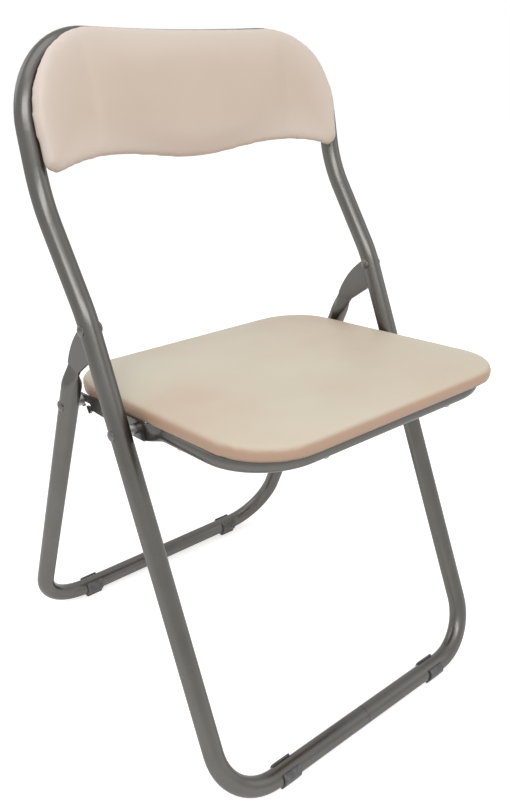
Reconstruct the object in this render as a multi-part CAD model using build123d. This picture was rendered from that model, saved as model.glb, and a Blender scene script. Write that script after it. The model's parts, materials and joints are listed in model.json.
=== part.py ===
from build123d import *
import os
from math import acos, asin, atan2, cos, degrees, hypot, pi, radians, sin, sqrt, tan

# Folding pipe chair: a closed front loop that carries the backrest, a rear leg loop hinged to it,
# and a padded seat hinged between the front legs. X is the width, the sitter faces -Y, Z is up,
# and the origin lies on the floor under the middle of the feet. All sizes are in millimetres.

# Frame tube, shared by the front loop and the rear legs
TUBE_R = 11.1
TUBE_WALL = 1.2
HALF_WIDTH = 205.0
STANCE = 428.6
SOLE = 3.0

# Front loop: heights of the bends and the lean of each stretch from upright
LEG_LEAN = 25.2
KNEE_Z = 501.0
WAIST_LEAN = 35.8
BACK_Z = 603.0
BACK_LEAN = 13.5
TOP_Z = 753.0
FOOT_BEND = 64.0
KNEE_BEND = 136.0
BACK_BEND = 150.0
ARCH_BEND = 90.0
ARCH_BOW = 26.0
SEAM_WIDTH = 0.7
SEAM_DEPTH = 0.35

# Rear legs: each upper end is pressed into a flat tongue that reaches forward to the hinge and
# enters the front tube through a slot; lengths along the leg are measured down from the hinge
HORN_OFFSET = 18.8
REAR_FOOT_BEND = 70.0
HORN_LENGTH = 92.0
HORN_FLAT = 3.0
TONGUE_LENGTH = 64.0
TONGUE_NOSE = 33.0
TONGUE_TIP_R = 8.0
TONGUE_NOSE_R = 9.0
TONGUE_THROAT_R = 8.0
SLOT_CLEAR = 0.3
SLOT_END = 2.0
PRESS_SECTIONS = 4
PRESS_STEP = 0.25
PRESS_LIP = 0.1
PRESS_LAP = 2.0
OVAL_POINTS = 24
OVAL_SQUARE = 1.5

# Hinges: rivets run across the chair on the tube centre lines
HINGE_Z = 487.6
SEAT_HINGE_Z = 390.0
RIVET_R = 3.0
RIVET_HEAD_R = 6.0
RIVET_HEAD_H = 2.2
RIVET_FIT = 0.05
HINGE_WASHER_R = 5.5
BUSH_R = 5.5
LAYER_GAP = 0.1
HEAD_CLEAR = 0.35

# Fold: the rear legs swing forward while the seat tips, both from the open stop, and each ends
# this many degrees short of lying along the front legs
FOLD_LEGS_REST = 4.6
FOLD_SEAT_REST = 0.3

# Seat rail tube and its flattened, hooked ends, in the seat's own slanted frame
SEAT_SLANT = 5.5
RAIL_R = 9.5
RAIL_WALL = 1.2
RAIL_INSET = 31.0
RAIL_FRONT = 175.6
RAIL_BEND = 64.0
RAIL_HEIGHT = 2.0
SQUEEZE_START = 40.0
SQUEEZE_END = 14.0
BLADE_GAP = 5.65
BLADE_FLAT = 3.4
BLADE_TOP = 10.9
BLADE_DROP = 9.4
BLADE_TAIL = 11.0
BLADE_LAP = 3.0
BLADE_CORNER = 1.2
HOOK_DROP = 3.8
JAW_DROP = 9.9
BAY_DEPTH = 17.0
BAY_HEIGHT = 5.0
BAY_LEVEL = 0.8
PIN_R = 3.0
PIN_CLEAR = 0.4
PIN_RISE = 4.5
PIN_BUSH_R = 6.0
MOUTH_SHARE = 0.16
MOUTH_STEPS = 6

# Seat board and pad
SEAT_INSET = 20.5
SEAT_FRONT = 198.0
SEAT_REAR = 161.0
SEAT_FRONT_CORNER = 66.0
SEAT_REAR_CORNER = 66.0
SEAT_BOARD = 8.0
SEAT_SIDE = 13.5
SEAT_TUCK = 1.8
SEAT_BULGE = 0.4
SEAT_ROLL = 4.0
SEAT_CROWN = 6.5
SEAT_CROWN_RUN = 32.0
COVER = 3.5
BOARD_FIT = 0.1

# Backrest board and pad
BACK_INSET = 3.5
BACK_TOP = 4.0
BACK_CORNER = 88.0
BACK_SIDE_DROP = 126.5
BACK_TIP_DROP = 131.5
BACK_TAPER = 2.0
BACK_TIP_IN = 13.0
BACK_WAVE_HIGH = 117.5
BACK_WAVE_AT = 105.0
BACK_WAVE_LOW = 126.5
BACK_BOARD = 4.0
BACK_PAD = 12.0
BACK_PAD_FRONT_R = 870.0
BACK_PAD_ROUND = 6.0
BACK_ROUND_SHARE = 0.75
BACK_GAP = 0.4

# Backrest tabs, screws and foot pads
TAB_HEIGHT = 20.0
TAB_THICK = 2.5
TAB_REACH = 24.0
TAB_DROPS = (48.0, 104.0)
SCREW_R = 2.0
SCREW_HEAD_R = 4.2
SCREW_HEAD_H = 2.2
SCREW_BITE = 5.0
SCREW_SHARE = 0.75
SCREW_FRONT_X = 90.0
SCREW_SIDE_AT = 62.0
FOOT_PAD_INSET = 80.0
FOOT_PAD_LENGTH = 24.0
FOOT_PAD_WALL = 2.2
FOOT_PAD_FIT = 0.05
FOOT_PAD_OPEN = 50.0
FOOT_PAD_LIP = 1.5
FOOT_SOLE_WIDTH = 15.0

# Layers across the chair, from the tubes inward
TUBE_OUTER_X = HALF_WIDTH + TUBE_R
TUBE_INNER_X = HALF_WIDTH - TUBE_R
BLADE_OUTER_X = TUBE_INNER_X - BLADE_GAP
BLADE_INNER_X = BLADE_OUTER_X - BLADE_FLAT
RAIL_HALF_WIDTH = HALF_WIDTH - RAIL_INSET
SEAT_HALF_WIDTH = HALF_WIDTH - SEAT_INSET
BACK_HALF_WIDTH = HALF_WIDTH - BACK_INSET
FOOT_PAD_AT = HALF_WIDTH - FOOT_PAD_INSET


def rise(start, height, lean):
    """Point at a height on a line that leans rearward from a start point in the side view."""
    return (start[0] + (height - start[1]) * tan(radians(lean)), height)


# Side view points (y, z) of the front loop, the hinges and the rear legs
FOOT_Z = SOLE + TUBE_R
FRONT_FOOT = (-STANCE / 2, FOOT_Z)
REAR_FOOT = (STANCE / 2, FOOT_Z)
KNEE = rise(FRONT_FOOT, KNEE_Z, LEG_LEAN)
BACK = rise(KNEE, BACK_Z, WAIST_LEAN)
TOP = rise(BACK, TOP_Z, BACK_LEAN)
HINGE = rise(FRONT_FOOT, HINGE_Z, LEG_LEAN)
SEAT_HINGE = rise(FRONT_FOOT, SEAT_HINGE_Z, LEG_LEAN)

# The rear leg's lean brings its centre line to the set distance behind the hinge
hinge_reach = hypot(REAR_FOOT[0] - HINGE[0], HINGE[1] - FOOT_Z)
hinge_lean = degrees(atan2(REAR_FOOT[0] - HINGE[0], HINGE[1] - FOOT_Z))
REAR_LEAN = hinge_lean - degrees(asin(HORN_OFFSET / hinge_reach))
FOLD_LEGS = LEG_LEAN + REAR_LEAN - FOLD_LEGS_REST
FOLD_SEAT = 90 - LEG_LEAN + SEAT_SLANT - FOLD_SEAT_REST

# Working frames: the seat's slanted frame and the backrest's leaning frame
SEAT_FRAME = Plane(
    origin=(0, SEAT_HINGE[0], SEAT_HINGE[1]),
    x_dir=(1, 0, 0),
    z_dir=(0, sin(radians(SEAT_SLANT)), cos(radians(SEAT_SLANT))),
)
BACK_FRAME = Plane(
    origin=(0, TOP[0], TOP[1]),
    x_dir=(1, 0, 0),
    z_dir=(0, -cos(radians(BACK_LEAN)), sin(radians(BACK_LEAN))),
)


def across(x, side_point):
    """Space point from a distance across the chair and a side view point."""
    return Vector(x, side_point[0], side_point[1])


def rounded_path(points, radii):
    """Straight stretches through the points with an arc of the given radius at each inner one."""
    edges = []
    start = points[0]
    for before, corner, after, radius in zip(points, points[1:], points[2:], radii):
        along = (corner - before).normalized()
        onward = (after - corner).normalized()
        turn = acos(along.dot(onward))
        reach = radius * tan(turn / 2)
        inward = (onward - along).normalized()
        middle = corner + inward * (radius / cos(turn / 2) - radius)
        edges.append(Line(start, corner - along * reach))
        edges.append(ThreePointArc(corner - along * reach, middle, corner + onward * reach))
        start = corner + onward * reach
    edges.append(Line(start, points[-1]))
    return edges


def pipe(path, radius):
    """Round bar along a path."""
    return sweep(Plane(origin=path @ 0, z_dir=path % 0) * Circle(radius), path=path)


def both_sides(half):
    """A half and its mirror image across the middle plane, joined."""
    return half + mirror(half, about=Plane.YZ)


def crosswise(x, side_point, outward):
    """Place across the chair whose own +Z points outward along the width."""
    return Pos(*across(x, side_point)) * Rot(0, 90 * outward, 0)


def rod(radius, length):
    """Round rod standing on its own XY plane."""
    return Cylinder(radius, length, align=(Align.CENTER, Align.CENTER, Align.MIN))


def ring(outer, inner, length):
    """Washer or bush standing on its own XY plane."""
    return rod(outer, length) - rod(inner, length)


def cap(radius, height):
    """Domed rivet or screw head rising from its own XY plane."""
    ball_r = (radius**2 + height**2) / (2 * height)
    return rod(radius, height) & (Pos(0, 0, height - ball_r) * Sphere(ball_r))


def saddle_head(radius, height, sink, bar):
    """Domed head whose underside is shaped to the round tube it is set on."""
    return rod(radius, sink) + Pos(0, 0, sink) * cap(radius, height) - bar


def flat_oval(half_thick, half_wide, power):
    """Closed outline between a circle (power 2) and a pressed flat bar (high power)."""
    points = []
    for step in range(OVAL_POINTS):
        turn = 2 * pi * step / OVAL_POINTS
        c = cos(turn)
        s = sin(turn)
        x = half_thick * abs(c) ** (2 / power) * (1 if c > 0 else -1)
        y = half_wide * abs(s) ** (2 / power) * (1 if s > 0 else -1)
        points.append((x, y))
    return make_face(Spline(*points, periodic=True))


def eased(share):
    """Smooth change from 0 to 1."""
    return share * share * (3 - 2 * share)


def squeezed_end(places, round_r, round_x, flat_half, wide_half, flat_x):
    """Solid stretch pressed from a round tube into a flat bar along a list of section frames."""
    first, heading = places[0]
    collar_r = round_r + PRESS_LIP
    collar = Circle(collar_r)
    lap = Vector(round_x, first.Y, first.Z) - heading * PRESS_LAP
    sections = [Plane(origin=lap, x_dir=(1, 0, 0), z_dir=heading) * collar]
    last = len(places) - 1
    for step, (centre, along) in enumerate(places):
        ease = eased(step / last)
        half_thick = collar_r + (flat_half - collar_r) * ease
        half_wide = collar_r + (wide_half - collar_r) * ease
        x = round_x + (flat_x - round_x) * ease
        frame = Plane(origin=(x, centre.Y, centre.Z), x_dir=(1, 0, 0), z_dir=along)
        outline = flat_oval(half_thick, half_wide, 2 + OVAL_SQUARE * ease) if step else collar
        sections.append(frame * outline)
    return loft(sections)


# Front loop: foot bar, legs, two side bends and an arch that bows rearward behind the sitter
ARCH_TURN = 2 * atan2(ARCH_BOW, HALF_WIDTH + ARCH_BEND)
BOW_END = HALF_WIDTH - ARCH_BEND * cos(ARCH_TURN)
BOW_R = BOW_END / sin(ARCH_TURN)
BOW_AXIS = BOW_R - ARCH_BOW


def arch_point(x):
    """Point of the bowed top bar at a distance from the middle."""
    return BACK_FRAME.from_local_coords(Vector(x, 0, BOW_AXIS - sqrt(BOW_R**2 - x**2)))


arch_run = 2 * ARCH_BEND
arch_heading = BACK_FRAME.from_local_coords(
    Vector(HALF_WIDTH - arch_run * cos(ARCH_TURN), 0, -arch_run * sin(ARCH_TURN))
)
front_edges = rounded_path(
    [
        across(0, FRONT_FOOT),
        across(HALF_WIDTH, FRONT_FOOT),
        across(HALF_WIDTH, KNEE),
        across(HALF_WIDTH, BACK),
        across(HALF_WIDTH, TOP),
        arch_heading,
    ],
    [FOOT_BEND, KNEE_BEND, BACK_BEND, ARCH_BEND],
)[:-1]
arch_edge = ThreePointArc(arch_point(BOW_END), arch_point(BOW_END / 2), arch_point(0))
front_path = Wire(front_edges + [arch_edge])
front_bar = both_sides(pipe(front_path, TUBE_R))
front_bore = both_sides(pipe(front_path, TUBE_R - TUBE_WALL))
seam_middle = Pos(*across(0, FRONT_FOOT)) * Rot(0, 90, 0)
seam_ring = seam_middle * (Cylinder(TUBE_R + 1, SEAM_WIDTH) - Cylinder(TUBE_R - SEAM_DEPTH, SEAM_WIDTH))
front_tube = front_bar - front_bore - seam_ring
for side_point in (HINGE, SEAT_HINGE):
    front_tube -= crosswise(-2 * HALF_WIDTH, side_point, 1) * rod(RIVET_R + RIVET_FIT, 4 * HALF_WIDTH)

# Rear legs: straight tubes whose upper ends are pressed flat and drawn forward to the hinge
rear_up = Vector(0, -sin(radians(REAR_LEAN)), cos(radians(REAR_LEAN)))
rear_fore = Vector(0, -cos(radians(REAR_LEAN)), -sin(radians(REAR_LEAN)))


def leg_point(x, fore, above):
    """Space point given by distances forward of the hinge and above it along the rear leg."""
    return across(x, HINGE) + rear_fore * fore + rear_up * above


horn_start = leg_point(HALF_WIDTH, -HORN_OFFSET, -HORN_LENGTH)
rear_points = [across(0, REAR_FOOT), across(HALF_WIDTH, REAR_FOOT), horn_start]
rear_path = Wire(rounded_path(rear_points, [REAR_FOOT_BEND]))
press_places = []
for step in range(PRESS_SECTIONS + 1):
    below = HORN_LENGTH + (TONGUE_LENGTH - HORN_LENGTH) * step / PRESS_SECTIONS
    press_places.append((leg_point(0, -HORN_OFFSET, -below), rear_up))
horn_press = squeezed_end(
    press_places, TUBE_R, HALF_WIDTH, HORN_FLAT / 2 - PRESS_STEP, TUBE_R - PRESS_STEP, HALF_WIDTH
)

# The tongue's rear edge sweeps round to a tip about the rivet, and its front edge swells to a nose
# that still lies inside the front tube when the chair is folded; sketched forward and up from the hinge
TONGUE_PLANE = Plane(
    origin=across(HALF_WIDTH + HORN_FLAT / 2, HINGE), x_dir=rear_fore, z_dir=(-1, 0, 0)
)
rear_line = -HORN_OFFSET - TUBE_R
front_line = -HORN_OFFSET + TUBE_R
sweep_r = (TONGUE_LENGTH**2 + rear_line**2 - TONGUE_TIP_R**2) / (-2 * (rear_line + TONGUE_TIP_R))
sweep_centre = Vector(rear_line + sweep_r, -TONGUE_LENGTH)
tip_rear = (sweep_centre * -1).normalized()
tip_front = Vector(cos(radians(FOLD_LEGS_REST)), sin(radians(FOLD_LEGS_REST)))
nose_fore = (TONGUE_TIP_R + TONGUE_NOSE * tip_front.Y) / tip_front.X
tongue_low = -TONGUE_LENGTH - BLADE_LAP
tongue_face = make_face(
    [
        Line((rear_line, tongue_low), (rear_line, -TONGUE_LENGTH)),
        ThreePointArc(
            (rear_line, -TONGUE_LENGTH),
            sweep_centre + (tip_rear + Vector(-1, 0)).normalized() * sweep_r,
            tip_rear * TONGUE_TIP_R,
        ),
        ThreePointArc(
            tip_rear * TONGUE_TIP_R,
            (tip_rear + tip_front).normalized() * TONGUE_TIP_R,
            tip_front * TONGUE_TIP_R,
        ),
        FilletPolyline(
            tip_front * TONGUE_TIP_R,
            (nose_fore, -TONGUE_NOSE),
            (front_line, -TONGUE_LENGTH),
            (front_line, tongue_low),
            radius=[TONGUE_NOSE_R, TONGUE_THROAT_R],
        ),
        Line((front_line, tongue_low), (rear_line, tongue_low)),
    ]
)
tongue = extrude(TONGUE_PLANE * tongue_face, HORN_FLAT)
pin_height = PIN_RISE - (across(0, REAR_FOOT) - SEAT_FRAME.origin).dot(SEAT_FRAME.z_dir)
pin_point = across(0, REAR_FOOT) + rear_up * (pin_height / rear_up.dot(SEAT_FRAME.z_dir))
PIN = (pin_point.Y, pin_point.Z)
rear_tube = both_sides(pipe(rear_path, TUBE_R)) - both_sides(pipe(rear_path, TUBE_R - TUBE_WALL))
rear_tube += both_sides(horn_press + tongue)
rear_tube -= crosswise(-2 * HALF_WIDTH, HINGE, 1) * rod(RIVET_R + RIVET_FIT, 4 * HALF_WIDTH)
rear_tube -= crosswise(-2 * HALF_WIDTH, PIN, 1) * rod(PIN_R + RIVET_FIT, 4 * HALF_WIDTH)

# The slot for the tongue runs down the back of the front tube from just above the hinge
front_up = Vector(0, sin(radians(LEG_LEAN)), cos(radians(LEG_LEAN)))
slot_high = TONGUE_TIP_R + SLOT_END
slot_low = TONGUE_LENGTH + SLOT_END
slot = Pos(0, (slot_high - slot_low) / 2, TUBE_R) * Box(
    HORN_FLAT + 2 * SLOT_CLEAR, slot_high + slot_low, 2 * TUBE_R
)
slot_place = Plane(
    origin=across(HALF_WIDTH, HINGE), x_dir=(-1, 0, 0), z_dir=Vector(-1, 0, 0).cross(front_up)
)
front_tube -= both_sides(slot_place * slot)

# Rivets, washers and bushes of the two hinges, and the rear leg pins that the seat hooks onto
HEAD_SINK = RIVET_HEAD_R**2 / TUBE_R


def tube_stretch(side_point, along):
    """Short straight stretch of a leg tube at a hinge, for seating pieces on it."""
    place = Plane(origin=across(HALF_WIDTH, side_point), z_dir=along)
    return place * Cylinder(TUBE_R, 4 * RIVET_HEAD_R)


def set_on_tube(side_point, along):
    """Outer rivet head seated on the outside of a frame tube."""
    place = crosswise(TUBE_OUTER_X - HEAD_SINK, side_point, 1)
    stretch = place.inverse() * tube_stretch(side_point, along)
    return place * saddle_head(RIVET_HEAD_R, RIVET_HEAD_H, HEAD_SINK, stretch)


def spacer(outer, inner, x_from, side_point, along):
    """Bush from a layer out to the tube, its end shaped to the tube."""
    place = crosswise(x_from, side_point, 1)
    return place * ring(outer, inner, HALF_WIDTH - x_from) - tube_stretch(side_point, along)


hinge_head = set_on_tube(HINGE, front_up)
hinge_rivet = crosswise(TUBE_INNER_X, HINGE, 1) * rod(RIVET_R, 2 * TUBE_R) + hinge_head
hinge_rivet += mirror(hinge_head, about=Plane.YZ.offset(HALF_WIDTH))
washer_near = HORN_FLAT / 2 + LAYER_GAP
washer_far = sqrt((TUBE_R - TUBE_WALL) ** 2 - HINGE_WASHER_R**2) - LAYER_GAP
hinge_washer = ring(HINGE_WASHER_R, RIVET_R + RIVET_FIT, washer_far - washer_near)
hinge_washers = []
for side in (-1, 1):
    for outward in (-1, 1):
        place = crosswise(side * HALF_WIDTH + outward * washer_near, HINGE, outward)
        hinge_washers.append(place * hinge_washer)
seat_rivet = crosswise(BLADE_INNER_X - LAYER_GAP, SEAT_HINGE, 1) * rod(
    RIVET_R, TUBE_OUTER_X - BLADE_INNER_X + LAYER_GAP
)
seat_rivet += set_on_tube(SEAT_HINGE, front_up)
seat_rivet += crosswise(BLADE_INNER_X - LAYER_GAP, SEAT_HINGE, -1) * cap(RIVET_HEAD_R, RIVET_HEAD_H)
seat_bush = spacer(BUSH_R, RIVET_R + RIVET_FIT, BLADE_OUTER_X + LAYER_GAP, SEAT_HINGE, front_up)
hook_pin = crosswise(BLADE_INNER_X, PIN, 1) * rod(PIN_R, TUBE_OUTER_X - BLADE_INNER_X)
hook_pin += set_on_tube(PIN, rear_up)
pin_bush = spacer(PIN_BUSH_R, PIN_R + RIVET_FIT, BLADE_OUTER_X + HEAD_CLEAR, PIN, rear_up)

# Seat rail: a bent tube whose ends are pressed into blades with a hook for the rear leg pin
BLADE_MIDDLE = (BLADE_TOP - BLADE_DROP) / 2
blade_x = (BLADE_OUTER_X + BLADE_INNER_X) / 2
rail_corner = Vector(RAIL_HALF_WIDTH, -RAIL_FRONT, RAIL_HEIGHT)
rail_end = Vector(RAIL_HALF_WIDTH, -SQUEEZE_START, RAIL_HEIGHT)
rail_path = Wire(rounded_path([Vector(0, -RAIL_FRONT, RAIL_HEIGHT), rail_corner, rail_end], [RAIL_BEND]))
rail_bar = both_sides(pipe(rail_path, RAIL_R))
blade_places = []
for step in range(PRESS_SECTIONS + 1):
    along = (SQUEEZE_START - SQUEEZE_END) * step / PRESS_SECTIONS - SQUEEZE_START
    height = RAIL_HEIGHT + (BLADE_MIDDLE - RAIL_HEIGHT) * eased(step / PRESS_SECTIONS)
    blade_places.append((Vector(0, along, height), Vector(0, 1, 0)))
blade_half = (BLADE_TOP + BLADE_DROP) / 2
blade_squeeze = squeezed_end(
    blade_places, RAIL_R, RAIL_HALF_WIDTH, BLADE_FLAT / 2 - PRESS_STEP, blade_half - PRESS_STEP, blade_x
)


def turned(point, pivot, degrees_up):
    """Side view point turned about a pivot, positive from the rear upward."""
    angle = radians(degrees_up)
    y = point[0] - pivot[0]
    z = point[1] - pivot[1]
    return (pivot[0] + y * cos(angle) - z * sin(angle), pivot[1] + y * sin(angle) + z * cos(angle))


def pin_in_seat(share):
    """Where the rear leg pin lies in the seat's frame at a share of the fold."""
    swung = turned(PIN, HINGE, -FOLD_LEGS * share)
    back = turned(swung, SEAT_HINGE, -FOLD_SEAT * share)
    local = SEAT_FRAME.to_local_coords(across(0, back))
    return Vector(local.Y, local.Z)


pin_seat = pin_in_seat(0)
tail_end = pin_seat.X + BLADE_TAIL
bay_end = pin_seat.X - BAY_DEPTH
jaw_tip = pin_seat.X - 2 * PIN_R
blade_start = -SQUEEZE_END - BLADE_LAP
blade_outline = Polyline(
    (blade_start, -BLADE_DROP),
    (blade_start, BLADE_TOP),
    (tail_end, BLADE_TOP),
    (tail_end, -HOOK_DROP),
    (jaw_tip, -HOOK_DROP),
    (jaw_tip, -JAW_DROP),
    (jaw_tip - BAY_HEIGHT, -JAW_DROP),
    (bay_end, -HOOK_DROP),
    (0, -BLADE_DROP),
    close=True,
)
blade_face = make_face(blade_outline)
blade_face = fillet(blade_face.vertices().sort_by(Axis.X)[2:], BLADE_CORNER)
bay_start = bay_end + BAY_HEIGHT / 2
bay = SlotCenterToCenter(pin_seat.X - bay_start, BAY_HEIGHT)
blade_face -= Pos((pin_seat.X + bay_start) / 2, BAY_LEVEL) * bay
for step in range(MOUTH_STEPS):
    near = pin_in_seat(MOUTH_SHARE * step / MOUTH_STEPS)
    far = pin_in_seat(MOUTH_SHARE * (step + 1) / MOUTH_STEPS)
    way = far - near
    notch = SlotCenterToCenter(way.length, 2 * (PIN_R + PIN_CLEAR))
    middle = (near + far) / 2
    blade_face -= Pos(middle.X, middle.Y) * Rot(0, 0, degrees(atan2(way.Y, way.X))) * notch
blade = extrude(Plane.YZ.offset(BLADE_INNER_X) * blade_face, BLADE_FLAT)
blade -= Pos(BLADE_INNER_X, 0, 0) * Rot(0, 90, 0) * rod(RIVET_R + RIVET_FIT, BLADE_FLAT)
seat_rail = rail_bar - both_sides(pipe(rail_path, RAIL_R - RAIL_WALL)) + both_sides(blade_squeeze + blade)

# Seat board and its crowned pad, which is wrapped round the board's edge
SEAT_BASE = RAIL_HEIGHT + RAIL_R + BOARD_FIT


def seat_outline(inset, height):
    """Seat outline drawn in by an inset, at a height in the seat's frame."""
    depth = SEAT_FRONT + SEAT_REAR - 2 * inset
    width = 2 * (SEAT_HALF_WIDTH - inset)
    middle = Pos(0, (SEAT_REAR - SEAT_FRONT) / 2, height)
    face = Rectangle(width, depth)
    corners = face.vertices().sort_by(Axis.Y)
    face = fillet(corners[:2], max(SEAT_FRONT_CORNER - inset, COVER))
    corners = face.vertices().sort_by(Axis.Y)
    face = fillet(corners[-2:], max(SEAT_REAR_CORNER - inset, COVER))
    return middle * face


pad_top = SEAT_BASE + SEAT_SIDE
pad_rings = [seat_outline(SEAT_TUCK, SEAT_BASE)]
for share in (0, 0.6, 1):
    inset = SEAT_ROLL * (1 - sqrt(1 - share**2))
    pad_rings.append(seat_outline(inset, SEAT_BASE + SEAT_SIDE * (SEAT_BULGE + (1 - SEAT_BULGE) * share)))
for share in (1 / 3, 2 / 3, 1):
    inset = SEAT_ROLL + SEAT_CROWN_RUN * share
    pad_rings.append(seat_outline(inset, pad_top + SEAT_CROWN * sin(share * pi / 2)))
seat_pad = loft(pad_rings, ruled=True)
seat_board = extrude(seat_outline(COVER, SEAT_BASE), SEAT_BOARD)
seat_pad -= extrude(seat_outline(COVER - BOARD_FIT, SEAT_BASE), SEAT_BOARD + BOARD_FIT)

# Screws that hold the seat board down on the rail, driven from below
screw_places = []
for x, along in ((SCREW_FRONT_X, -RAIL_FRONT), (RAIL_HALF_WIDTH, -SCREW_SIDE_AT)):
    screw_places.append((x, along))
    screw_places.append((-x, along))
seat_screws = []
for x, along in screw_places:
    under = Pos(x, along, RAIL_HEIGHT - RAIL_R)
    shank = under * rod(SCREW_R, 2 * RAIL_R + SCREW_BITE)
    sink = SCREW_HEAD_R**2 / RAIL_R
    below = Pos(x, along, RAIL_HEIGHT - RAIL_R + sink) * Rot(180, 0, 0)
    head = saddle_head(SCREW_HEAD_R, SCREW_HEAD_H, sink, below.inverse() * rail_bar)
    seat_screws.append(shank + below * head)
    hole = under * rod(SCREW_R + RIVET_FIT, 2 * RAIL_R + SCREW_BITE + RIVET_FIT)
    seat_rail -= hole
    seat_board -= hole

# Backrest: a bowed board against the arch, with a padded cover over its front and edges
BACK_R = BOW_R - TUBE_R - BACK_GAP


def back_outline(inset):
    """Backrest outline drawn in by an inset: rounded top corners and a waved lower edge."""
    side = BACK_HALF_WIDTH - inset
    top = BACK_TOP - inset
    bend = BACK_CORNER - inset
    low = inset - BACK_SIDE_DROP
    tip = Vector(side - BACK_TIP_IN, inset - BACK_TIP_DROP)
    turn = bend * (1 - cos(pi / 4))
    edges = [
        Line((bend - side, top), (side - bend, top)),
        ThreePointArc((side - bend, top), (side - turn, top - turn), (side, top - bend)),
        Line((side, top - bend), (side - BACK_TAPER, low)),
        Line((side - BACK_TAPER, low), tip),
        Spline(
            tip,
            (BACK_WAVE_AT, inset - BACK_WAVE_HIGH),
            (0, inset - BACK_WAVE_LOW),
            (-BACK_WAVE_AT, inset - BACK_WAVE_HIGH),
            (-tip.X, tip.Y),
        ),
        Line((-tip.X, tip.Y), (BACK_TAPER - side, low)),
        Line((BACK_TAPER - side, low), (-side, top - bend)),
        ThreePointArc((-side, top - bend), (turn - side, top - turn), (bend - side, top)),
    ]
    return make_face(edges)


def back_roll(radius, axis):
    """Upright cylinder in the backrest's frame that a bowed face follows."""
    return Pos(0, 0, axis) * Rot(90, 0, 0) * Cylinder(radius, 4 * BACK_SIDE_DROP)


def back_prism(inset):
    """Backrest outline drawn out through its thickness."""
    return extrude(back_outline(inset), 3 * ARCH_BOW, both=True)


def hollow(radius):
    """How far a bowed face of this radius comes forward from its middle to the backrest's sides."""
    return radius - sqrt(radius**2 - BACK_HALF_WIDTH**2)


front_axis = BOW_AXIS - BACK_R + BACK_BOARD + BACK_PAD + BACK_PAD_FRONT_R
back_edge = BACK_BOARD + BACK_PAD + hollow(BACK_PAD_FRONT_R) - hollow(BACK_R)
back_pad = back_prism(0) & back_roll(BACK_R, BOW_AXIS)
back_pad -= back_roll(BACK_PAD_FRONT_R, front_axis)
front_face = back_pad.faces().filter_by(GeomType.CYLINDER).sort_by(SortBy.AREA)
front_face = [face for face in front_face if abs(face.radius - BACK_PAD_FRONT_R) < 1][-1]
back_pad = fillet(front_face.outer_wire().edges(), min(BACK_PAD_ROUND, BACK_ROUND_SHARE * back_edge))
back_board = back_prism(COVER) & (back_roll(BACK_R, BOW_AXIS) - back_roll(BACK_R - BACK_BOARD, BOW_AXIS))
back_pad -= back_prism(COVER - BOARD_FIT) & (
    back_roll(BACK_R, BOW_AXIS) - back_roll(BACK_R - BACK_BOARD - BOARD_FIT, BOW_AXIS)
)

# Steel tabs welded inside the arch, with screws from behind into the backrest board
local_arch = BACK_FRAME.location.inverse() * front_bar
tab_in = HALF_WIDTH - TUBE_R - TAB_REACH
tab_out = HALF_WIDTH - TUBE_R / 2
tab_front = BOW_AXIS - sqrt(BACK_R**2 - tab_in**2) - BOARD_FIT
screw_x = tab_in + TAB_REACH / 3
screw_length = BOW_AXIS - sqrt(BACK_R**2 - screw_x**2) + SCREW_SHARE * BACK_BOARD - tab_front + TAB_THICK
back_tabs = []
back_screws = []
for drop in TAB_DROPS:
    plate = Box(tab_out - tab_in, TAB_HEIGHT, TAB_THICK)
    block = Pos((tab_in + tab_out) / 2, -drop, tab_front - TAB_THICK / 2) * plate
    under = Pos(screw_x, -drop, tab_front - TAB_THICK)
    hole = under * rod(SCREW_R + RIVET_FIT, screw_length + RIVET_FIT)
    tab = (block - local_arch - hole).solids().sort_by(Axis.X)[0]
    head = Rot(180, 0, 0) * cap(SCREW_HEAD_R, SCREW_HEAD_H)
    screw = under * (rod(SCREW_R, screw_length) + head)
    back_tabs += [tab, mirror(tab, about=Plane.YZ)]
    back_screws += [screw, mirror(screw, about=Plane.YZ)]
    back_board -= hole
    back_board -= mirror(hole, about=Plane.YZ)

# Foot pads: plastic clips sprung onto the foot bars, open at the top, with a flat sole
pad_bore = TUBE_R + FOOT_PAD_FIT
pad_outer = pad_bore + FOOT_PAD_WALL
gap_x = 2 * TUBE_R * sin(radians(FOOT_PAD_OPEN))
gap_y = 2 * TUBE_R * cos(radians(FOOT_PAD_OPEN))
foot_profile = Circle(pad_outer)
foot_profile += Pos(0, -FOOT_Z / 2) * Rectangle(FOOT_SOLE_WIDTH, FOOT_Z)
foot_profile -= make_face(Polyline((0, 0), (gap_x, gap_y), (-gap_x, gap_y), close=True))
for lean in (-FOOT_PAD_OPEN, FOOT_PAD_OPEN):
    lip_r = pad_bore + FOOT_PAD_WALL / 2
    lip = Circle(FOOT_PAD_LIP)
    foot_profile += Pos(lip_r * sin(radians(lean)), lip_r * cos(radians(lean))) * lip
foot_profile -= Circle(pad_bore)
foot_clip = extrude(Plane.YZ.offset(FOOT_PAD_AT - FOOT_PAD_LENGTH / 2) * foot_profile, FOOT_PAD_LENGTH)


def paired(name, right):
    """Left and right copies of a piece that is built on the right."""
    return {name + "_left": mirror(right, about=Plane.YZ), name + "_right": right}


def in_frame(frame, pieces):
    """Pieces moved from a working frame to the chair's frame, kept as one group."""
    return Compound(children=[frame.location * piece for piece in pieces])


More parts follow.
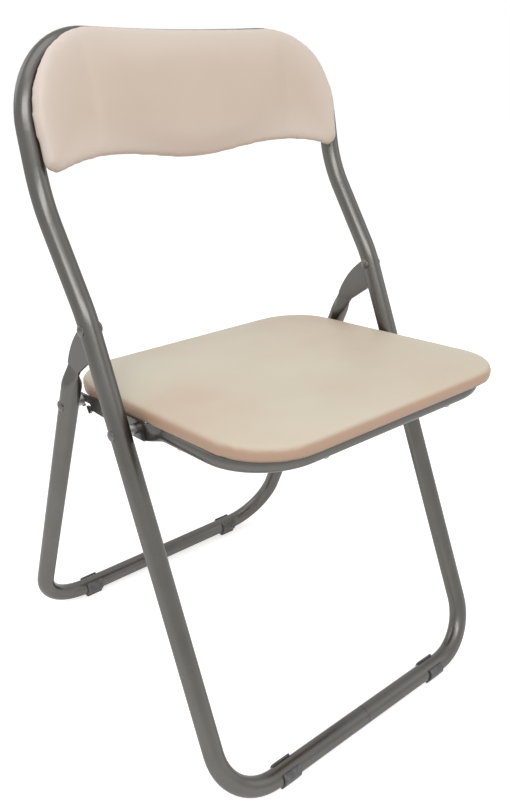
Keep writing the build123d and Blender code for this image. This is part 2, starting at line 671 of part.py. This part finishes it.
nodes = {
    "front_frame_tube": front_tube,
    "rear_leg_tube": rear_tube,
    "hinge_washers": Compound(children=hinge_washers),
    "seat_rail_tube": SEAT_FRAME.location * seat_rail,
    "seat_board": SEAT_FRAME.location * seat_board,
    "seat_pad": SEAT_FRAME.location * seat_pad,
    "seat_screws": in_frame(SEAT_FRAME, seat_screws),
    "backrest_board": BACK_FRAME.location * back_board,
    "backrest_pad": BACK_FRAME.location * back_pad,
    "backrest_tabs": in_frame(BACK_FRAME, back_tabs),
    "backrest_screws": in_frame(BACK_FRAME, back_screws),
}
nodes |= paired("hinge_rivet", hinge_rivet)
nodes |= paired("seat_hinge_rivet", seat_rivet)
nodes |= paired("seat_hinge_bush", seat_bush)
nodes |= paired("hook_pin", hook_pin)
nodes |= paired("hook_pin_bush", pin_bush)
nodes |= paired("front_foot_pad", Pos(*across(0, FRONT_FOOT)) * foot_clip)
nodes |= paired("rear_foot_pad", Pos(*across(0, REAR_FOOT)) * foot_clip)

os.makedirs("parts", exist_ok=True)
for name, piece in nodes.items():
    export_step(piece, f"parts/{name}.step")
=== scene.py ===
import json
import math

import bpy
import numpy
from mathutils import Matrix, Vector
from mathutils.bvhtree import BVHTree
from mathutils.kdtree import KDTree


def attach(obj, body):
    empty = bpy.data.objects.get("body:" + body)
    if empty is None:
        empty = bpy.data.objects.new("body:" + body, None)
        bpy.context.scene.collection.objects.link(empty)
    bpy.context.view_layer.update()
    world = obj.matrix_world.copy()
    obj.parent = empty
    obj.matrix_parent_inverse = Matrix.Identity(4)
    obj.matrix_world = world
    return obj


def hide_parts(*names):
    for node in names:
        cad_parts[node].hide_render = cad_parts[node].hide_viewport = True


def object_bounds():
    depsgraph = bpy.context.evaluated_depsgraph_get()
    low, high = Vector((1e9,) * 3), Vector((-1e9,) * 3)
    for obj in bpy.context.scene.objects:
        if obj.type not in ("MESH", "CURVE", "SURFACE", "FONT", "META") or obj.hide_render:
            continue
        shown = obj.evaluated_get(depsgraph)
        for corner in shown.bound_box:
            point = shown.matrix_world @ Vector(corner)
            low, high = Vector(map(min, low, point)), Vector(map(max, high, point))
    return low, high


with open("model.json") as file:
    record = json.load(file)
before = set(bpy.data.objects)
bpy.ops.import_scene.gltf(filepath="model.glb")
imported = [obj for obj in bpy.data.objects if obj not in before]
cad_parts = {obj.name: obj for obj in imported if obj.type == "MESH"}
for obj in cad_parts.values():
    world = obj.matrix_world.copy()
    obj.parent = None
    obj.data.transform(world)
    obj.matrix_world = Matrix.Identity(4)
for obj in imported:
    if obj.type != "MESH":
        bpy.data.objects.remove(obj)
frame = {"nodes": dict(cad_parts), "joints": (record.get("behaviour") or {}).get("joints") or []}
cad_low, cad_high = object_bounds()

# The camera stands where the photograph was taken from: at the front left corner of the chair,
# level with the top of the backrest, looking down on the seat through a normal lens.
CAMERA_AT = Vector((-0.56703, -0.67039, 0.76015))
CAMERA_YAW = math.radians(-40.46)
CAMERA_DOWN = math.radians(25.23)
CAMERA_ROLL = math.radians(0.81)
CAMERA_LENS = 35.54
camera_data = bpy.data.cameras.new("photo_camera")
camera_data.lens = CAMERA_LENS
camera_data.clip_start = 0.01
camera = bpy.data.objects.new("photo_camera", camera_data)
bpy.context.scene.collection.objects.link(camera)
camera.matrix_world = (
    Matrix.Translation(CAMERA_AT)
    @ Matrix.Rotation(CAMERA_YAW, 4, "Z")
    @ Matrix.Rotation(math.radians(90) - CAMERA_DOWN, 4, "X")
    @ Matrix.Rotation(CAMERA_ROLL, 4, "Z")
)
bpy.context.scene.camera = camera
bpy.context.scene.view_settings.view_transform = "Standard"

# The studio is a plain white sweep with soft lamps: a wide one above the camera, one overhead and
# weaker ones on the right and behind. White shows to the camera and in reflections.
WHITE = (1.0, 1.0, 1.0, 1.0)
AMBIENT_COLOUR = (1.0, 0.985, 0.965, 1.0)
AMBIENT_LEVEL = 0.5
LAMP_COLOUR = (0.96, 0.975, 1.0)
LAMPS = (
    ("key_lamp", (-0.7, -1.0, 1.5), (0.0, 0.0, 0.55), (1.5, 0.5), 11.0),
    ("top_lamp", (-0.3, -0.1, 2.4), (0.0, 0.0, 0.4), (1.4, 1.4), 8.0),
    ("fill_lamp", (1.9, -1.2, 1.4), (0.0, 0.0, 0.4), (1.6, 1.6), 4.0),
    ("back_lamp", (-0.9, 1.7, 1.6), (0.0, 0.0, 0.5), (1.2, 1.2), 6.0),
)
world = bpy.data.worlds.new("white_studio")
world.use_nodes = True
bpy.context.scene.world = world
world_nodes = world.node_tree.nodes
world_links = world.node_tree.links
world_nodes.clear()
world_out = world_nodes.new("ShaderNodeOutputWorld")
ambient = world_nodes.new("ShaderNodeBackground")
ambient.inputs["Color"].default_value = AMBIENT_COLOUR
ambient.inputs["Strength"].default_value = AMBIENT_LEVEL
white = world_nodes.new("ShaderNodeBackground")
white.inputs["Color"].default_value = WHITE
white.inputs["Strength"].default_value = 1.0
paths = world_nodes.new("ShaderNodeLightPath")
camera_or_glossy = world_nodes.new("ShaderNodeMath")
camera_or_glossy.operation = "MAXIMUM"
seen = world_nodes.new("ShaderNodeMath")
seen.operation = "MAXIMUM"
world_mix = world_nodes.new("ShaderNodeMixShader")
world_links.new(paths.outputs["Is Camera Ray"], camera_or_glossy.inputs[0])
world_links.new(paths.outputs["Is Glossy Ray"], camera_or_glossy.inputs[1])
world_links.new(camera_or_glossy.outputs[0], seen.inputs[0])
world_links.new(paths.outputs["Is Transmission Ray"], seen.inputs[1])
world_links.new(seen.outputs[0], world_mix.inputs["Fac"])
world_links.new(ambient.outputs[0], world_mix.inputs[1])
world_links.new(white.outputs[0], world_mix.inputs[2])
world_links.new(world_mix.outputs[0], world_out.inputs["Surface"])
for name, place, target, size, power in LAMPS:
    lamp_data = bpy.data.lights.new(name, "AREA")
    lamp_data.shape = "RECTANGLE"
    lamp_data.size, lamp_data.size_y = size
    lamp_data.color = LAMP_COLOUR
    lamp_data.energy = power
    lamp = bpy.data.objects.new(name, lamp_data)
    bpy.context.scene.collection.objects.link(lamp)
    heading = (Vector(target) - Vector(place)).to_track_quat("-Z", "Y")
    lamp.matrix_world = Matrix.Translation(place) @ heading.to_matrix().to_4x4()

# The floor is a plain pale sheet just under the foot pads. It is lifted to white for the camera
# and in reflections, and keeps the chair's soft shadow.
FLOOR_SIZE = 12.0
FLOOR_GAP = 0.0005
FLOOR_COLOUR = (0.9, 0.9, 0.9, 1.0)
FLOOR_LIFT = 0.62
bpy.ops.object.select_all(action="DESELECT")
bpy.ops.mesh.primitive_plane_add(size=FLOOR_SIZE, location=(0.0, 0.0, cad_low.z - FLOOR_GAP))
floor = bpy.context.object
floor.name = "studio_floor"
floor_paint = bpy.data.materials.new("studio_floor_paint")
floor_paint.use_nodes = True
floor_nodes = floor_paint.node_tree.nodes
floor_links = floor_paint.node_tree.links
floor_shader = floor_nodes["Principled BSDF"]
floor_shader.inputs["Base Color"].default_value = FLOOR_COLOUR
floor_shader.inputs["Roughness"].default_value = 0.9
floor_shader.inputs["Emission Color"].default_value = WHITE
floor_paths = floor_nodes.new("ShaderNodeLightPath")
floor_lift = floor_nodes.new("ShaderNodeMath")
floor_lift.operation = "MULTIPLY"
floor_lift.inputs[1].default_value = FLOOR_LIFT
floor_seen = floor_nodes.new("ShaderNodeMath")
floor_seen.operation = "MAXIMUM"
floor_links.new(floor_paths.outputs["Is Camera Ray"], floor_seen.inputs[0])
floor_links.new(floor_paths.outputs["Is Glossy Ray"], floor_seen.inputs[1])
floor_links.new(floor_seen.outputs[0], floor_lift.inputs[0])
floor_links.new(floor_lift.outputs[0], floor_shader.inputs["Emission Strength"])
floor.data.materials.append(floor_paint)

# The front loop, the rear legs, the seat rail and the backrest tabs are welded steel tube and
# plate, sprayed after bending with one grey metallic lacquer that has worn and dulled with use.
PAINT_DARK = (0.088, 0.083, 0.074, 1.0)
PAINT_LIGHT = (0.148, 0.142, 0.13, 1.0)
PAINT_GLINT = (0.5, 0.5, 0.52, 1.0)
PATCH_SHARE = 0.35
PAINTED_NODES = ("front_frame_tube", "rear_leg_tube", "seat_rail_tube", "backrest_tabs")


def shader_of(name):
    """A new material with its tree, its main shader and its Object coordinates."""
    material = bpy.data.materials.new(name)
    material.use_nodes = True
    tree = material.node_tree
    coordinates = tree.nodes.new("ShaderNodeTexCoord")
    return material, tree, tree.nodes["Principled BSDF"], coordinates.outputs["Object"]


def noise_of(tree, place, scale, detail=4.0, roughness=0.55):
    """Noise of a given scale at a place."""
    node = tree.nodes.new("ShaderNodeTexNoise")
    node.inputs["Scale"].default_value = scale
    node.inputs["Detail"].default_value = detail
    node.inputs["Roughness"].default_value = roughness
    tree.links.new(place, node.inputs["Vector"])
    return node.outputs["Fac"]


def ramp_of(tree, value, *stops):
    """Colour ramp through (position, colour) stops."""
    node = tree.nodes.new("ShaderNodeValToRGB")
    node.color_ramp.elements[0].position = stops[0][0]
    node.color_ramp.elements[0].color = stops[0][1]
    node.color_ramp.elements[1].position = stops[-1][0]
    node.color_ramp.elements[1].color = stops[-1][1]
    for position, colour in stops[1:-1]:
        node.color_ramp.elements.new(position).color = colour
    tree.links.new(value, node.inputs["Fac"])
    return node.outputs["Color"]


def level_of(tree, value, low, high):
    """A 0 to 1 value spread between two levels."""
    node = tree.nodes.new("ShaderNodeMapRange")
    node.inputs["To Min"].default_value = low
    node.inputs["To Max"].default_value = high
    tree.links.new(value, node.inputs["Value"])
    return node.outputs["Result"]


def bump_of(tree, height, strength, distance, under=None):
    """Bump from a height, on top of another bump where one is given."""
    node = tree.nodes.new("ShaderNodeBump")
    node.inputs["Strength"].default_value = strength
    node.inputs["Distance"].default_value = distance
    tree.links.new(height, node.inputs["Height"])
    if under is not None:
        tree.links.new(under, node.inputs["Normal"])
    return node.outputs["Normal"]


def grey_lacquer():
    """Grey metallic lacquer: fine flake, slight orange peel and duller rubbed patches."""
    material, tree, shader, place = shader_of("grey_lacquer")
    flake = noise_of(tree, place, scale=2600.0, detail=2.0)
    patches = noise_of(tree, place, scale=14.0, detail=6.0, roughness=0.6)
    tone = tree.nodes.new("ShaderNodeMix")
    tone.data_type = "FLOAT"
    tone.inputs["Factor"].default_value = PATCH_SHARE
    tree.links.new(flake, tone.inputs["A"])
    tree.links.new(patches, tone.inputs["B"])
    colour = ramp_of(tree, tone.outputs["Result"], (0.3, PAINT_DARK), (0.7, PAINT_LIGHT))
    tree.links.new(colour, shader.inputs["Base Color"])
    shader.inputs["Metallic"].default_value = 0.9
    shader.inputs["Specular Tint"].default_value = PAINT_GLINT
    tree.links.new(level_of(tree, patches, low=0.25, high=0.37), shader.inputs["Roughness"])
    shader.inputs["Coat Weight"].default_value = 0.35
    shader.inputs["Coat Roughness"].default_value = 0.14
    peel = noise_of(tree, place, scale=420.0, detail=2.0)
    bump = bump_of(tree, peel, strength=0.06, distance=0.0004)
    tree.links.new(bump, shader.inputs["Normal"])
    return material


def finish_nodes(nodes, material):
    """Gives CAD pieces one finish."""
    for node in nodes:
        piece = frame["nodes"][node]
        piece.data.materials.clear()
        piece.data.materials.append(material)


finish_nodes(PAINTED_NODES, grey_lacquer())

# Rivets and pins are soft steel headed cold against the tubes, dull and nearly as dark as the
# lacquer. Washers, bushes and screws are zinc-plated and stay brighter where nothing rubs them.
RIVET_DARK = (0.1, 0.095, 0.088, 1.0)
RIVET_LIGHT = (0.19, 0.184, 0.17, 1.0)
PLATED_DARK = (0.25, 0.24, 0.225, 1.0)
PLATED_LIGHT = (0.5, 0.49, 0.47, 1.0)
PLATED_WORDS = ("washer", "bush", "screws")
PLATED_NODES = [node for node in frame["nodes"] if any(word in node for word in PLATED_WORDS)]
RIVET_NODES = [
    node
    for node in frame["nodes"]
    if ("rivet" in node or "hook_pin" in node) and node not in PLATED_NODES
]


def plain_steel(name, dark, light):
    """Bare or plated steel with darker blotches and fine scratches."""
    material, tree, shader, place = shader_of(name)
    blotch = noise_of(tree, place, scale=160.0, detail=6.0, roughness=0.6)
    colour = ramp_of(tree, blotch, (0.3, dark), (0.65, light))
    tree.links.new(colour, shader.inputs["Base Color"])
    shader.inputs["Metallic"].default_value = 1.0
    tree.links.new(level_of(tree, blotch, low=0.28, high=0.5), shader.inputs["Roughness"])
    scratch = noise_of(tree, place, scale=900.0, detail=3.0)
    bump = bump_of(tree, scratch, strength=0.1, distance=0.0003)
    tree.links.new(bump, shader.inputs["Normal"])
    return material


finish_nodes(RIVET_NODES, plain_steel("rivet_steel", RIVET_DARK, RIVET_LIGHT))
finish_nodes(PLATED_NODES, plain_steel("plated_steel", PLATED_DARK, PLATED_LIGHT))

# The foot pads are clips moulded in dark grey plastic and sprung onto the foot bars.
# Floors have scuffed them paler in places.
FOOT_DARK = (0.085, 0.085, 0.09, 1.0)
FOOT_SCUFFED = (0.2, 0.2, 0.2, 1.0)
FOOT_NODES = [node for node in frame["nodes"] if "foot_pad" in node]


def scuffed_plastic():
    """Dark grey moulded plastic with a fine spark texture and paler scuffs."""
    material, tree, shader, place = shader_of("scuffed_plastic")
    scuff = noise_of(tree, place, scale=120.0, detail=8.0, roughness=0.65)
    colour = ramp_of(tree, scuff, (0.45, FOOT_DARK), (0.75, FOOT_SCUFFED))
    tree.links.new(colour, shader.inputs["Base Color"])
    tree.links.new(level_of(tree, scuff, low=0.45, high=0.7), shader.inputs["Roughness"])
    spark = noise_of(tree, place, scale=2200.0, detail=2.0)
    bump = bump_of(tree, spark, strength=0.15, distance=0.0003)
    tree.links.new(bump, shader.inputs["Normal"])
    return material


finish_nodes(FOOT_NODES, scuffed_plastic())

# The seat and backrest boards are plywood, cut to shape and screwed to the rail and the tabs.
# They are bare on the side that the vinyl leaves open.
VENEER_DARK = (0.33, 0.22, 0.125, 1.0)
VENEER_MIDDLE = (0.47, 0.34, 0.21, 1.0)
VENEER_LIGHT = (0.56, 0.43, 0.28, 1.0)
GRAIN_STRETCH = (1.0, 14.0, 14.0)
BOARD_NODES = ("seat_board", "backrest_board")


def plywood():
    """Plywood face veneer: long grain bands, fine pores and a dull surface."""
    material, tree, shader, place = shader_of("plywood")
    mapping = tree.nodes.new("ShaderNodeMapping")
    mapping.inputs["Scale"].default_value = GRAIN_STRETCH
    tree.links.new(place, mapping.inputs["Vector"])
    along = mapping.outputs["Vector"]
    grain = noise_of(tree, along, scale=9.0, detail=8.0, roughness=0.6)
    colour = ramp_of(tree, grain, (0.3, VENEER_DARK), (0.5, VENEER_MIDDLE), (0.7, VENEER_LIGHT))
    tree.links.new(colour, shader.inputs["Base Color"])
    tree.links.new(level_of(tree, grain, low=0.55, high=0.75), shader.inputs["Roughness"])
    bump = bump_of(tree, grain, strength=0.2, distance=0.0006)
    tree.links.new(bump, shader.inputs["Normal"])
    return material


finish_nodes(BOARD_NODES, plywood())

# The seat cushion is a sheet of foam on the seat board under one piece of beige vinyl leathercloth,
# which is pulled over the board's edge and fixed beneath. It is blown up as stretched cloth from
# the bare pad.
SEAT_VOXEL = 0.005
SEAT_SWELL = 0.004
SEAT_SMOOTHING = 4
SEAT_LEAN = math.radians(5.5)
SEAT_UP = Vector((0.0, math.sin(SEAT_LEAN), math.cos(SEAT_LEAN)))
HELD_NEAR = 0.0045
HELD_FAR = 0.009
SLACK = 0.0015
MERGE_WITHIN = 0.00001
COVER_STIFFNESS = 18.0
COVER_PRESSURE = 4.0
CLOTH_FRAMES = 20


def turned(angle):
    """Turns the points of the active skin about the frame's X axis."""
    bpy.ops.object.mode_set(mode="EDIT")
    bpy.ops.mesh.select_all(action="SELECT")
    bpy.ops.transform.rotate(value=angle, orient_axis="X", center_override=(0.0, 0.0, 0.0))
    bpy.ops.object.mode_set(mode="OBJECT")


def merged_skin(name, voxel, lean, *nodes):
    """One skin from copies of CAD pieces, merged and remeshed with their lean taken out."""
    bpy.ops.object.select_all(action="DESELECT")
    for node in nodes:
        copy = bpy.data.objects.new(name, frame["nodes"][node].data.copy())
        bpy.context.scene.collection.objects.link(copy)
        copy.select_set(True)
        bpy.context.view_layer.objects.active = copy
    bpy.ops.object.join()
    skin = bpy.context.object
    skin.name = name
    skin.data.materials.clear()
    bpy.ops.object.mode_set(mode="EDIT")
    bpy.ops.mesh.select_all(action="SELECT")
    bpy.ops.mesh.remove_doubles(threshold=MERGE_WITHIN)
    bpy.ops.object.mode_set(mode="OBJECT")
    turned(-lean)
    skin.data.remesh_voxel_size = voxel
    bpy.ops.object.voxel_remesh()
    turned(lean)
    return skin


def swelled(skin, board, cap):
    """Draws a skin in where it is free of its board, and blows it up as cloth to a limit."""
    vertices = skin.data.vertices
    outward = [v.normal.copy() for v in vertices]
    board_mesh = frame["nodes"][board].data
    board_surface = BVHTree.FromPolygons(
        [v.co for v in board_mesh.vertices], [polygon.vertices for polygon in board_mesh.polygons]
    )
    gaps = [board_surface.find_nearest(v.co)[3] for v in vertices]
    group = skin.vertex_groups.new(name="held")
    for vertex, normal, gap in zip(vertices, outward, gaps):
        held = min(max((HELD_FAR - gap) / (HELD_FAR - HELD_NEAR), 0.0), 1.0)
        group.add([vertex.index], held, "REPLACE")
        vertex.co -= normal * SLACK * (1.0 - held)
    start = [v.co.copy() for v in vertices]
    cloth = skin.modifiers.new("stretched_cover", "CLOTH")
    cloth.settings.quality = 3
    cloth.settings.mass = 0.3
    cloth.settings.tension_stiffness = COVER_STIFFNESS
    cloth.settings.compression_stiffness = COVER_STIFFNESS
    cloth.settings.shear_stiffness = 8.0
    cloth.settings.bending_stiffness = 2.0
    cloth.settings.use_pressure = True
    cloth.settings.uniform_pressure_force = COVER_PRESSURE
    cloth.settings.vertex_group_mass = "held"
    cloth.settings.effector_weights.gravity = 0.0
    cloth.point_cache.frame_start = 1
    cloth.point_cache.frame_end = CLOTH_FRAMES
    for step in range(1, CLOTH_FRAMES + 1):
        bpy.context.scene.frame_set(step)
    bpy.ops.object.modifier_apply(modifier="stretched_cover")
    bpy.context.scene.frame_set(1)
    for vertex, place in zip(skin.data.vertices, start):
        move = vertex.co - place
        if move.length > 0.0:
            vertex.co = place + move * (cap * math.tanh(move.length / cap) / move.length)


def smoothed(skin, repeats):
    """Evens out the points of a skin."""
    bpy.ops.object.mode_set(mode="EDIT")
    bpy.ops.mesh.select_all(action="SELECT")
    bpy.ops.mesh.vertices_smooth(factor=0.5, repeat=repeats)
    bpy.ops.object.mode_set(mode="OBJECT")


def finer(skin):
    """Subdivides a skin once and shades it smooth."""
    finer_mesh = skin.modifiers.new("finer", "SUBSURF")
    finer_mesh.levels = 1
    finer_mesh.render_levels = 1
    bpy.ops.object.modifier_apply(modifier="finer")
    bpy.ops.object.shade_smooth()


def stored_on(skin, name, values):
    """Keeps one number a point on a piece for its material to read."""
    kept = skin.data.attributes.new(name, "FLOAT", "POINT")
    kept.data.foreach_set("value", values)


def leathercloth(name, field, painted_rim_sheen, soil_and_shade):
    """Vinyl leathercloth: pebbled grain, faint stains, a paler rim that is a painted sheen, and
    red-brown sides and lower edges that are partly soil and partly painted shade.
    """
    material, tree, shader, place = shader_of(name)
    stains = noise_of(tree, place, scale=6.5, detail=4.0, roughness=0.5)
    colour = ramp_of(tree, stains, *field)
    # Two stored layers are blended in: a paler rim that is a painted sheen, and red-brown that is
    # partly soil and partly painted shade.
    for layer, tint in (("painted_rim_sheen", painted_rim_sheen), ("soil_and_shade", soil_and_shade)):
        kept = tree.nodes.new("ShaderNodeAttribute")
        kept.attribute_name = layer
        blend = tree.nodes.new("ShaderNodeMix")
        blend.data_type = "RGBA"
        blend.inputs["B"].default_value = tint
        tree.links.new(kept.outputs["Fac"], blend.inputs["Factor"])
        tree.links.new(colour, blend.inputs["A"])
        colour = blend.outputs["Result"]
    tree.links.new(colour, shader.inputs["Base Color"])
    cells = tree.nodes.new("ShaderNodeTexVoronoi")
    cells.inputs["Scale"].default_value = 900.0
    tree.links.new(place, cells.inputs["Vector"])
    grain = bump_of(tree, cells.outputs["Distance"], strength=0.14, distance=0.0004)
    creases = noise_of(tree, place, scale=90.0, detail=5.0, roughness=0.6)
    bump = bump_of(tree, creases, strength=0.1, distance=0.0008, under=grain)
    tree.links.new(bump, shader.inputs["Normal"])
    tree.links.new(level_of(tree, stains, low=0.44, high=0.54), shader.inputs["Roughness"])
    return material


SEAT_AT = Vector(
    next(joint["pos_m"] for joint in frame["joints"] if joint["name"] == "seat_hinge")
)
SEAT_BASE = 0.0116
HEM_CUT = 0.0045
HEM_LOW = 0.0016
HEM_TILT = 0.0083
HEM_STEPS = ((0.35, 0.998), (0.45, 0.995), (0.2, 0.993))
HEM_TUCK = 0.983
HEM_ROOF = 0.0004
HEM_MIDDLE = Vector((0.0, -0.0185, 0.0018))
SEAT_FIELD = (
    (0.3, (0.645, 0.59, 0.47, 1.0)),
    (0.5, (0.635, 0.55, 0.43, 1.0)),
    (0.75, (0.62, 0.48, 0.365, 1.0)),
)
# Paler tint for a painted sheen on the rim. The seat gives it no weight anywhere.
SEAT_RIM_SHEEN = (0.7, 0.6, 0.52, 1.0)
# Red-brown for sides and lower edges: partly soil on the vinyl, partly painted shade where they
# face away from the light.
VINYL_SOIL_AND_SHADE = (0.5, 0.335, 0.235, 1.0)
SOIL_AND_SHADE_FACING = 0.92
SOIL_AND_SHADE_SPREAD = 0.5


def seat_hem(skin):
    """Cuts off the blown underside, and turns the cover down and under the board's edge."""
    lowest = SEAT_AT + SEAT_UP * SEAT_BASE
    bpy.ops.object.mode_set(mode="EDIT")
    bpy.ops.mesh.select_all(action="SELECT")
    bpy.ops.mesh.bisect(plane_co=lowest + SEAT_UP * HEM_CUT, plane_no=SEAT_UP, clear_inner=True)
    middle = lowest + HEM_MIDDLE
    for share, draw_in in HEM_STEPS:
        down = SEAT_UP * (-share * (HEM_CUT + HEM_LOW))
        bpy.ops.mesh.extrude_region_move(TRANSFORM_OT_translate={"value": down})
        bpy.ops.transform.resize(value=(1.0, draw_in, 1.0), center_override=middle)
    bpy.ops.transform.rotate(value=HEM_TILT, orient_axis="X", center_override=middle)
    bpy.ops.mesh.extrude_region_move(TRANSFORM_OT_translate={"value": (0.0, 0.0, 0.0)})
    bpy.ops.transform.resize(value=(HEM_TUCK, HEM_TUCK, 1.0), center_override=middle)
    up = SEAT_UP * (HEM_LOW + HEM_ROOF)
    bpy.ops.mesh.extrude_region_move(TRANSFORM_OT_translate={"value": up})
    bpy.ops.transform.rotate(value=-HEM_TILT, orient_axis="X", center_override=middle)
    bpy.ops.mesh.edge_face_add()
    bpy.ops.mesh.select_all(action="SELECT")
    bpy.ops.mesh.normals_make_consistent(inside=False)
    bpy.ops.object.mode_set(mode="OBJECT")


seat_cushion = merged_skin("seat_cushion", SEAT_VOXEL, SEAT_LEAN, "seat_pad", "seat_board")
swelled(seat_cushion, "seat_board", SEAT_SWELL)
smoothed(seat_cushion, SEAT_SMOOTHING)
finer(seat_cushion)
seat_hem(seat_cushion)
# The seat has no painted rim sheen: its weight is zero everywhere.
stored_on(seat_cushion, "painted_rim_sheen", [0.0 for v in seat_cushion.data.vertices])
# Sides facing away from the seat's top are tinted red-brown: partly soil, partly painted shade.
stored_on(seat_cushion, "soil_and_shade", [
    min(max((SOIL_AND_SHADE_FACING - v.normal.dot(SEAT_UP)) / SOIL_AND_SHADE_SPREAD, 0.0), 1.0)
    for v in seat_cushion.data.vertices
])
seat_cushion.data.materials.append(
    leathercloth("seat_leathercloth", SEAT_FIELD, SEAT_RIM_SHEEN, VINYL_SOIL_AND_SHADE)
)
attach(seat_cushion, "seat")
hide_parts("seat_pad")

# The backrest cushion is a thinner pad on the bowed backrest board, covered in the same
# leathercloth, which is drawn tight round the board's edge and back to the tubes. Its rim is
# painted paler than the stained field as a painted sheen, and its lower edge darker as painted
# shade.
BACK_VOXEL = 0.0028
BACK_SWELL = 0.005
BACK_SMOOTHING = 8
BACK_HEM_SMOOTHING = 3
BACK_LEAN = math.radians(13.5)
BACK_UP = Vector((0.0, math.sin(BACK_LEAN), math.cos(BACK_LEAN)))
BACK_REARWARD = Vector((0.0, math.cos(BACK_LEAN), -math.sin(BACK_LEAN)))
# How far in from the edge the painted rim sheen reaches, and how it fades.
RIM_WIDTH = 0.05
RIM_FADE = 1.5
EDGE_FACING = 0.4
# Strength of the painted shade on the backrest's downward-facing lower edge.
LOW_EDGE_SHADE = 0.4
BACK_HEM_SIDE = 0.0032
BACK_HEM_TOP = 0.0042
BACK_HEM_LOW = 0.003
BACK_HEM_BACK = 0.0095
BACK_HEM_FROM = 0.178
BACK_HEM_RUN = 0.022
BACK_HEM_FACING = 0.75
BACK_HEM_EVEN = 14
BACK_BOARD_PROUD = 0.002
BACK_FIELD = (
    (0.3, (0.64, 0.53, 0.43, 1.0)),
    (0.5, (0.62, 0.505, 0.41, 1.0)),
    (0.75, (0.585, 0.465, 0.365, 1.0)),
)
# Paler tint for the painted sheen on the backrest's rim.
BACK_RIM_SHEEN = (0.7, 0.6, 0.53, 1.0)


def back_hem(place, normal):
    """How a point of the cover moves: out at the edge, back at the sides, in behind the board."""
    rearward = normal.dot(BACK_REARWARD)
    outward = normal - BACK_REARWARD * rearward
    rise = outward.dot(BACK_UP)
    fuller = (outward - BACK_UP * rise) * BACK_HEM_SIDE
    fuller += BACK_UP * (rise * (BACK_HEM_TOP if rise > 0.0 else BACK_HEM_LOW))
    run = min(max((abs(place.x) - BACK_HEM_FROM) / BACK_HEM_RUN, 0.0), 1.0)
    drawn = run * run * (3.0 - 2.0 * run) * min(max(BACK_HEM_FACING + rearward, 0.0), 1.0)
    sunk = BACK_BOARD_PROUD * max(rearward, 0.0)
    return fuller + BACK_REARWARD * (BACK_HEM_BACK * drawn - sunk)


def evened(skin, values, repeats):
    """Values a point of a skin, averaged with those of the points beside it."""
    ends = numpy.array([edge.vertices[:] for edge in skin.data.edges])
    sharers = numpy.bincount(ends.ravel(), minlength=len(values))[:, None]
    for _ in range(repeats):
        beside = numpy.zeros_like(values)
        numpy.add.at(beside, ends[:, 0], values[ends[:, 1]])
        numpy.add.at(beside, ends[:, 1], values[ends[:, 0]])
        values = 0.5 * values + 0.5 * beside / sharers
    return values


back_cushion = merged_skin(
    "backrest_cushion", BACK_VOXEL, BACK_LEAN, "backrest_pad", "backrest_board"
)
swelled(back_cushion, "backrest_board", BACK_SWELL)
smoothed(back_cushion, BACK_SMOOTHING)
back_pull = numpy.array([back_hem(v.co, v.normal) for v in back_cushion.data.vertices])
back_pull = evened(back_cushion, back_pull, BACK_HEM_EVEN)
for vertex, pull in zip(back_cushion.data.vertices, back_pull):
    vertex.co += Vector(pull)
smoothed(back_cushion, BACK_HEM_SMOOTHING)
finer(back_cushion)
back_edge = [
    v.co for v in back_cushion.data.vertices if abs(v.normal.dot(BACK_REARWARD)) < EDGE_FACING
]
edge_tree = KDTree(len(back_edge))
for index, place in enumerate(back_edge):
    edge_tree.insert(place, index)
edge_tree.balance()
# Painted sheen: points within RIM_WIDTH of the edge are painted paler.
stored_on(back_cushion, "painted_rim_sheen", [
    max(1.0 - edge_tree.find(v.co)[2] / RIM_WIDTH, 0.0) ** RIM_FADE
    for v in back_cushion.data.vertices
])
# Painted shade: points that face downwards are painted darker.
stored_on(back_cushion, "soil_and_shade", [
    max(-v.normal.dot(BACK_UP), 0.0) * LOW_EDGE_SHADE for v in back_cushion.data.vertices
])
back_cushion.data.materials.append(
    leathercloth("backrest_leathercloth", BACK_FIELD, BACK_RIM_SHEEN, VINYL_SOIL_AND_SHADE)
)
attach(back_cushion, "front_frame")
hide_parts("backrest_pad")
